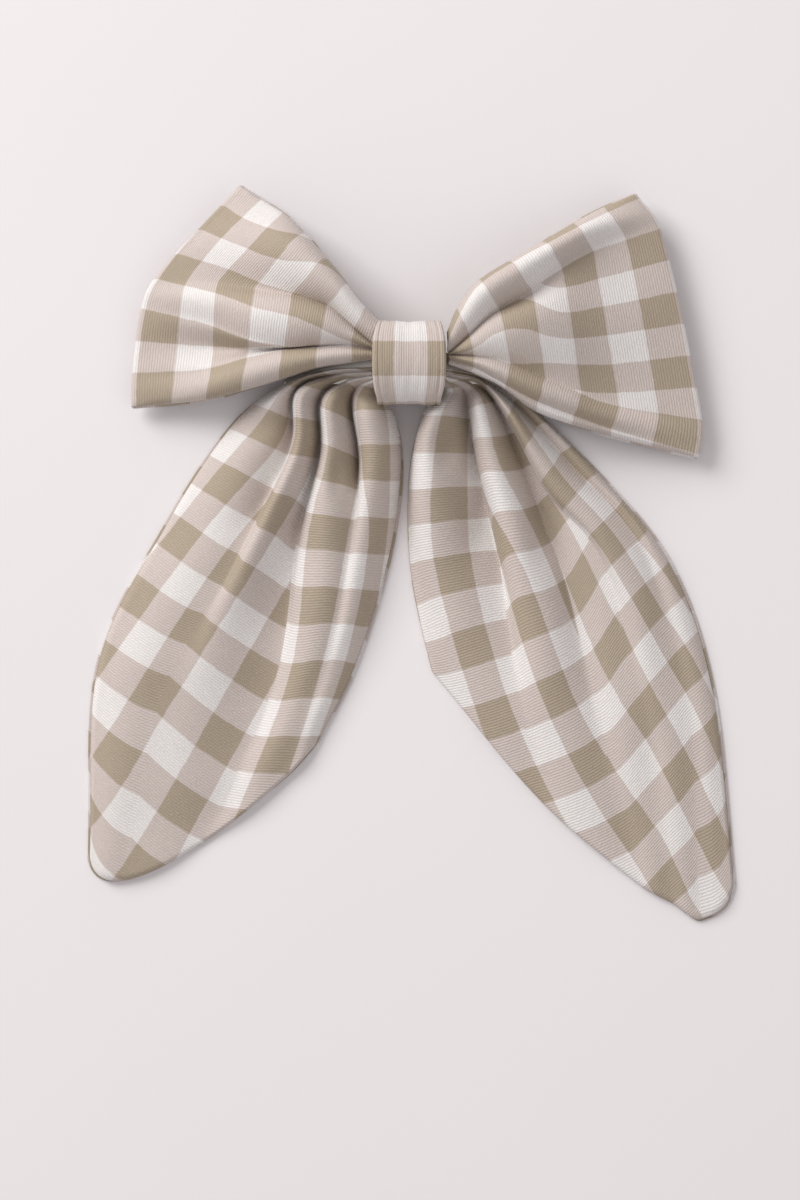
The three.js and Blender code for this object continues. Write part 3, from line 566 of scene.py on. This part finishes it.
leftFront = tailFront("tail_left_front_cloth", leftTail, tailSettings)
rightFront = tailFront("tail_right_front_cloth", rightTail, tailSettings)
leftBack = tailBack("tail_left_back_cloth", leftTail, backSettings, (0.7, 0.9))
rightBack = tailBack("tail_right_back_cloth", rightTail, backSettings, (0.2, 0.9))
for piece, node, cut, area in ((leftFront, "tail_left_front", (0.098, 0.162), 0.0135),
                               (rightFront, "tail_right_front", (0.098, 0.162), 0.0135),
                               (leftBack, "tail_left_back", (0.080, 0.155), 0.0098),
                               (rightBack, "tail_right_back", (0.080, 0.155), 0.0098)):
    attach(piece, "bow")
    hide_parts(node)
print("tails made")

# Loops. Lengths are in mm, and t runs from 0 at the knot to 1 at the outer fold.
loopSettings = {
    "rows": 110, "stepsAcross": 22, "thickness": 0.55, "fade": (0.5, 1.0), "edgeRadius": 2.0,
    "near": 0.15, "far": 0.2, "freeAfter": 20, "edgeCalm": 6, "foldCalm": 10,
    "squareOver": 5, "squareShare": 0.35,   # the edges' rounding weakens near the outer fold
    "foldRadius": 1.5, "foldSteps": 9,
    "backSmooth": 30, "belly": 3.2, "bellyLean": 0.3, "rootRise": 1.6, "riseOver": 0.25,
    "backGather": 6.2, "backPleats": 5, "gatherFade": 3.2, "gatherFrom": 0.12,
}
loopLean = [0, -0.06, -0.1, -0.12, -0.1, -0.05, 0]

leftLoop = {
    "lines": [
        {"points": [(-8, 63.6, 19.6), (-13.9, 69.7, 19.4), (-19.5, 77.3, 18.4), (-26.2, 85.4, 17),
                    (-33.5, 93.2, 15), (-40.2, 98, 11.4), (-46.6, 102.2, 8.6)],
         "u": [6.7, 5.8, 4.6, 3.5, 2.4, 1.2, 0.4], "v": [2.0, 1.95, 1.75, 1.2, 0.2, 0, 0.2]},
        {"points": [(-9.9, 57.1, 19.4), (-16.7, 63, 19), (-22.8, 68.3, 18.4), (-31.2, 71.4, 17.5),
                    (-41.9, 73.6, 16), (-55, 75.9, 12.2), (-70.4, 76.7, 7.8)],
         "u": [6.7, 5.9, 5.1, 4.2, 3.15, 1.85, 0], "v": [3.1, 3.1, 3.05, 3.05, 3.2, 3.6, 4.0]},
        {"points": [(-9.9, 56.8, 19.4), (-18.6, 58.2, 19.2), (-26.2, 58, 18.8), (-34.6, 57.4, 18.2),
                    (-45.2, 59.4, 17), (-56.4, 63.8, 12.6), (-74, 68.3, 7.4)],
         "u": [6.6, 5.8, 4.9, 4.05, 3.0, 1.85, 0], "v": [4.0, 4.3, 4.6, 5, 5, 5, 5],
         "vAfter": [6.9, 6.9, 6.9, 6.4, 5.1, 5, 5]},
        {"points": [(-9.9, 56.4, 19.4), (-18.6, 57.4, 19), (-26.2, 57.2, 18.2), (-35.4, 56.6, 17),
                    (-46.6, 54.3, 14.6), (-57.8, 51.5, 10.8), (-76.4, 50.7, 6.8)],
         "u": [6.6, 5.8, 5.0, 4.05, 2.9, 1.8, 0], "v": [7, 7, 7, 7, 7, 7, 7]},
        {"points": [(-10.2, 54, 19), (-18.6, 52.9, 18.6), (-27, 51.5, 17.6), (-36.8, 48.4, 16),
                    (-49.4, 44.8, 13.6), (-62, 42.6, 9.8), (-76.7, 41.4, 6.4)],
         "u": [6.6, 5.8, 4.95, 4.0, 2.8, 1.5, 0], "v": [8, 8, 8, 8, 8, 8, 8]},
    ],
    "rolls": [
        {"height": [2.4, 4.2, 6.2, 6.8, 5.8, 3.8, 1.0], "steep": [0.8, 0.8, 0.8, 0.7, 0.4, 0.1, 0],
         "lean": loopLean},
        {"height": [2.2, 4.0, 5.6, 6.0, 4.8, 2.8, 0.4], "steep": [0.8, 0.8, 0.8, 0.75, 0.5, 0.2, 0],
         "lean": loopLean},
        {"height": [-0.4, -0.8, -1.8, -3.4, -4.6, -4.0, -0.3], "steep": [0, 0, 0, 0, 0, 0, 0]},
        {"height": [1.6, 2.8, 3.6, 3.6, 2.8, 1.6, 0.3], "steep": [0.8, 0.8, 0.8, 0.8, 0.6, 0.3, 0]},
    ],
}

rightLoop = {
    "lines": [
        {"points": [(9.7, 61.3, 19.6), (12.5, 68, 19.2), (17.8, 75.3, 18.4), (28.3, 82.2, 17),
                    (39, 88.5, 15.2), (51, 95.5, 11.6), (61.2, 100, 8.8)],
         "u": [6.7, 6.0, 5.1, 3.8, 2.7, 1.3, 0.1], "v": [-0.6, -0.5, -0.4, -0.35, -0.3, -0.25, -0.15]},
        {"points": [(10.2, 55.4, 19.4), (16.4, 61, 19), (22.5, 66.6, 18.4), (30.7, 71.4, 17.2),
                    (40.5, 78.4, 15.4), (51.5, 84.6, 11.6), (68, 90.4, 8.2)],
         "u": [6.7, 5.95, 5.2, 4.3, 3.15, 1.9, 0.1], "v": [0.9, 1, 1, 1, 1, 1, 1],
         "vAfter": [3.4, 3.3, 3.2, 2.9, 1.3, 1, 1]},
        {"points": [(10.2, 55.2, 19.4), (17.8, 54.6, 19), (24.8, 53.5, 18.2), (33.2, 50.4, 16.4),
                    (43, 46.5, 14.4), (55.6, 41.7, 10.8), (79.7, 37.8, 6.8)],
         "u": [6.7, 5.95, 5.25, 4.4, 3.4, 2.2, 0], "v": [4.2, 4.4, 4.9, 5.25, 5.9, 6.4, 7.0],
         "vAfter": [7, 7, 7, 7, 7, 7, 7]},
        {"points": [(10.4, 53.8, 19.2), (17.5, 51.5, 18.8), (24.2, 47.9, 18), (33.2, 43.1, 16.4),
                    (43, 39.2, 14.4), (56.1, 34.7, 10.4), (79.1, 28.3, 6.4)],
         "u": [6.7, 5.95, 5.2, 4.2, 3.2, 1.95, 0], "v": [8, 8, 8, 8, 8, 8, 8]},
        {"points": [(10.2, 52.6, 19), (17.5, 50.1, 18.4), (24.8, 46.5, 17.4), (33.7, 40.3, 15.6),
                    (43.3, 36.4, 13.6), (56.7, 32.8, 9.6), (78.5, 27.4, 6.0)],
         "u": [6.7, 5.9, 5.1, 4.1, 3.1, 1.9, 0], "v": [8.35, 8.35, 8.4, 8.45, 8.5, 8.45, 8.1]},
    ],
    "rolls": [
        {"height": [2.4, 4.2, 6.2, 6.8, 5.4, 3.4, 0.6], "steep": [0.8, 0.8, 0.8, 0.7, 0.4, 0.1, 0],
         "lean": loopLean},
        {"height": [1.4, 3.0, 4.6, 5.4, 4.6, 2.8, 0.3], "steep": [0.8, 0.8, 0.7, 0.5, 0.3, 0.1, 0],
         "lean": loopLean},
        {"height": [1.8, 3.2, 4.2, 4.2, 3.2, 1.8, 0.2], "steep": [0.8, 0.8, 0.8, 0.8, 0.6, 0.3, 0]},
        {"height": [0.3, 0.3, 0.3, 0.3, 0.3, 0.2, 0], "steep": [0, 0, 0, 0, 0, 0, 0]},
    ],
}


# One loop: the front leaf out from the knot, half a circle at the outer fold, and the back leaf in
# again under it. The back leaf follows the front one without its rolls, lower by the fold's
# diameter at the fold and by a sine-shaped belly further in. Towards the knot it is gathered into
# raised-cosine pleats that die away as exp(-3.2 t).
def loopGrids(loop, settings):
    t = np.linspace(0, 1, settings["rows"])
    tDown = t[:, None]
    front, us, vs = joinStrips(gatheredCloth(loop["lines"], loop["rolls"], t, settings["stepsAcross"],
                                             settings["fade"]))
    across = runLength(front, 1)
    fromEdge = np.minimum(across, across[:, -1:] - across)
    along = runLength(front, 0)
    fromFold = along[-1:] - along
    free = np.clip(along / settings["freeAfter"], 0, 1)
    slack = slackness(sideBySide(us), sideBySide(vs), tDown, settings["near"], settings["far"])
    front[..., 2] += slack * free * np.clip(fromEdge / settings["edgeCalm"], 0, 1) \
        * np.clip(fromFold / settings["foldCalm"], 0, 1)
    front[..., 2] -= edgeDrop(fromEdge, settings["edgeRadius"]) * free \
        * np.clip(fromFold / settings["squareOver"], settings["squareShare"], 1)
    # outer fold: half a circle in the upright plane that the cloth's last rows run out in
    outward = front[-1] - front[-6]
    outward[:, 2] = 0
    outward /= np.linalg.norm(outward, axis=1)[:, None]
    radius = settings["foldRadius"]
    angle = np.linspace(0, np.pi, settings["foldSteps"])[1:, None, None]
    fold = front[-1][None] + radius * np.sin(angle) * outward[None]
    fold[..., 2] -= radius * (1 - np.cos(angle[..., 0]))
    # back leaf, from the fold to the knot
    share = across / across[:, -1:]
    smooth = front[:, :1] + (front[:, -1:] - front[:, :1]) * share[..., None]
    blend = np.clip(fromFold / settings["backSmooth"], 0, 1)
    back = front * (1 - blend[..., None]) + smooth * blend[..., None]
    gap = 2 * radius + settings["belly"] * np.sin(np.pi * tDown) * (1 - tDown * settings["bellyLean"])
    rise = np.clip(1 - tDown / settings["riseOver"], 0, 1) * settings["rootRise"]
    lower = np.minimum(smooth[..., 2], front[..., 2])
    back[..., 2] = lower * blend + front[..., 2] * (1 - blend) - gap + rise
    gather = settings["backGather"] * np.exp(-settings["gatherFade"] * tDown) \
        * np.clip(tDown / settings["gatherFrom"], 0, 1)
    back[..., 2] -= gather * (1 - np.cos(2 * np.pi * settings["backPleats"] * share)) / 2
    points = np.concatenate([front, fold, back[::-1][1:]], axis=0)
    # the print runs on over the fold: u falls by the length travelled, and v stays
    extra = np.linspace(0, np.pi * radius / check, settings["foldSteps"])[1:, None]
    grownU, grownV = [], []
    for u, v in zip(us, vs):
        foldU = u[-1:] - extra
        backU = u[-1:] - extra[-1:] - (u[::-1][1:] - u[-1:])
        grownU.append(np.concatenate([u, foldU, backU], axis=0))
        grownV.append(np.concatenate([v, np.repeat(v[-1:], len(extra), axis=0), v[::-1][1:]], axis=0))
    return points, grownU, grownV


middleSettings = {
    "left": -10.7, "right": 9.3, "centre": (53.6, 17.9), "halfSize": (9.0, 5.8), "power": 2.2,
    "pleats": 12, "pleatDepth": 0.11, "endRadius": 2.6, "rows": 40, "around": 168,
    "printStart": 5, "printAround": 12,
}


# The gathered middle of the band, which fills the knot: a tube along x with a rounded box section
# in y and z, where |y|^2.2 + |z|^2.2 = 1 over its half sizes, with pleats that run along it as the
# size of a sine, and with ends that close in a quarter circle.
def gatheredMiddle(settings):
    x = np.linspace(settings["right"], settings["left"], settings["rows"])[:, None]
    angle = np.linspace(0, 2 * np.pi, settings["around"] + 1)[None, :]
    fromEnd = np.minimum(settings["right"] - x, x - settings["left"])
    closing = np.sqrt(1 - (1 - np.clip(fromEnd / settings["endRadius"], 0.001, 1)) ** 2)
    fold = np.sin(settings["pleats"] * angle / 2 + 0.5 * np.sin(3 * angle))
    pleat = 1 - settings["pleatDepth"] * np.abs(fold)
    power = settings["power"]
    box = (np.abs(np.cos(angle)) ** power + np.abs(np.sin(angle)) ** power) ** (-1 / power)
    points = np.empty((settings["rows"], settings["around"] + 1, 3))
    points[..., 0] = x
    points[..., 1] = settings["centre"][0] + settings["halfSize"][0] * closing * pleat * box * np.cos(angle)
    points[..., 2] = settings["centre"][1] + settings["halfSize"][1] * closing * pleat * box * np.sin(angle)
    points[:, -1] = points[:, 0]
    u = np.broadcast_to(x / check + settings["printStart"], points.shape[:2]).copy()
    v = np.broadcast_to(angle / (2 * np.pi) * settings["printAround"], points.shape[:2]).copy()
    return points, [u], [v]


leftGrid = loopGrids(leftLoop, loopSettings)
rightGrid = loopGrids(rightLoop, loopSettings)
# the right loop's grid runs the other way round, so its rows are turned to keep its faces outwards
rightGrid = (rightGrid[0][::-1], [x[::-1] for x in rightGrid[1]], [x[::-1] for x in rightGrid[2]])
loops = gridMesh("loop_band_cloth", [leftGrid, rightGrid, gatheredMiddle(middleSettings)],
                 loopSettings["thickness"], clothMaterial)
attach(loops, "bow")
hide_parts("loop_band")
print("loops made")

# Knot. The outline is in y and z, and lengths are in mm.
knot = {
    "left": -10.9, "right": 9.5, "columns": 72, "around": 200, "lineSteps": 2000, "thickness": 0.6,
    "outline": [(52.3, 8.4), (57.6, 8.5), (61.2, 10.3), (63.9, 14.1), (64.6, 18.8), (62.4, 23.2),
                (57, 25.2), (50, 24.8), (44.4, 21.6), (41.7, 17.3), (41.6, 13.2), (43.4, 10.1), (47, 8.5)],
    "centre": (53.5, 16.8), "edgeRadius": 0.9, "waist": 0.35, "waistWidth": 0.22,
    "hemDepth": 0.3, "hemFromEdge": 1.7, "hemWidth": 0.28,
    "narrowBy": 1.3, "narrowReach": 11,   # mm drawn in at the top and bottom, and their distance in y
    "pleats": ((0.07, 3.2), (0.04, 7.1)),   # each: height, waves across the strip
    "printStart": 0.35, "printAcross": 2.2, "printTopY": 58.6, "frontAbove": 20,
}


# The strip that is wrapped round the middle: a closed smooth outline in y and z, carried along x.
# Its distance from the centre is less by a quarter circle at the two edges, by a bell curve at the
# waist and by a narrow one along each edge, which is the hem line. Two faint sine waves across the
# strip are its pleats. At the top and bottom it narrows by the cube of the distance from the middle.
def makeKnot(settings):
    # the line runs on past its start, so that the closed part cut from it is smooth at its join too
    outline = settings["outline"]
    ring = np.array(outline + outline[:3], float)
    line = alongLine(ring, np.linspace(0, 1, settings["lineSteps"]))
    perPoint = settings["lineSteps"] / (len(outline) + 2)
    loop = line[int(perPoint):int(perPoint * (len(outline) + 1)) + 1]
    length = np.concatenate([[0], np.cumsum(np.linalg.norm(np.diff(loop, axis=0), axis=1))])
    where = np.linspace(0, length[-1], settings["around"])
    y = np.interp(where, length, loop[:, 0])
    z = np.interp(where, length, loop[:, 1])
    y[-1], z[-1] = y[0], z[0]
    s = 0.5 - 0.5 * np.cos(np.pi * np.linspace(0, 1, settings["columns"]))
    x = settings["left"] + (settings["right"] - settings["left"]) * s
    fromEdge = np.minimum(x - settings["left"], settings["right"] - x)
    inward = edgeDrop(fromEdge, settings["edgeRadius"]) \
        + settings["waist"] * np.exp(-((s - 0.5) / settings["waistWidth"]) ** 2) \
        + settings["hemDepth"] * np.exp(-((fromEdge - settings["hemFromEdge"]) / settings["hemWidth"]) ** 2)
    around = (where / length[-1] * 2 * np.pi)[:, None]
    (tallWave, tallCount), (lowWave, lowCount) = settings["pleats"]
    pleat = tallWave * np.sin(2 * np.pi * (s[None, :] * tallCount) + 1.3 * np.sin(around)) \
        + lowWave * np.sin(2 * np.pi * s[None, :] * lowCount + 2 * np.sin(2 * around))
    centreY, centreZ = settings["centre"]
    away = np.stack([y - centreY, z - centreZ], axis=1)
    away /= np.linalg.norm(away, axis=1)[:, None]
    offset = pleat - inward[None, :]
    narrowing = settings["narrowBy"] * np.clip(np.abs(y - centreY) / settings["narrowReach"], 0, 1) ** 3
    points = np.empty((len(y), len(x), 3))
    points[..., 0] = x[None, :] - narrowing[:, None] * (2 * s - 1)[None, :]
    points[..., 1] = y[:, None] + away[:, :1] * offset
    points[..., 2] = z[:, None] + away[:, 1:] * offset
    points[-1] = points[0]
    u = settings["printStart"] + settings["printAcross"] * s[None, :]
    u = np.broadcast_to(u, points.shape[:2]).copy()
    # the print is laid from one place on the knot's front, near its top
    top = where[np.argmin(np.abs(y - settings["printTopY"]) + 100 * (z < settings["frontAbove"]))]
    v = np.broadcast_to(((where - top) / check + 1)[:, None], points.shape[:2]).copy()
    return gridMesh("knot_wrap_cloth", [(points, [u], [v])], settings["thickness"], clothMaterial)


knotPiece = makeKnot(knot)
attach(knotPiece, "bow")
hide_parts("knot_wrap")
print("knot made")
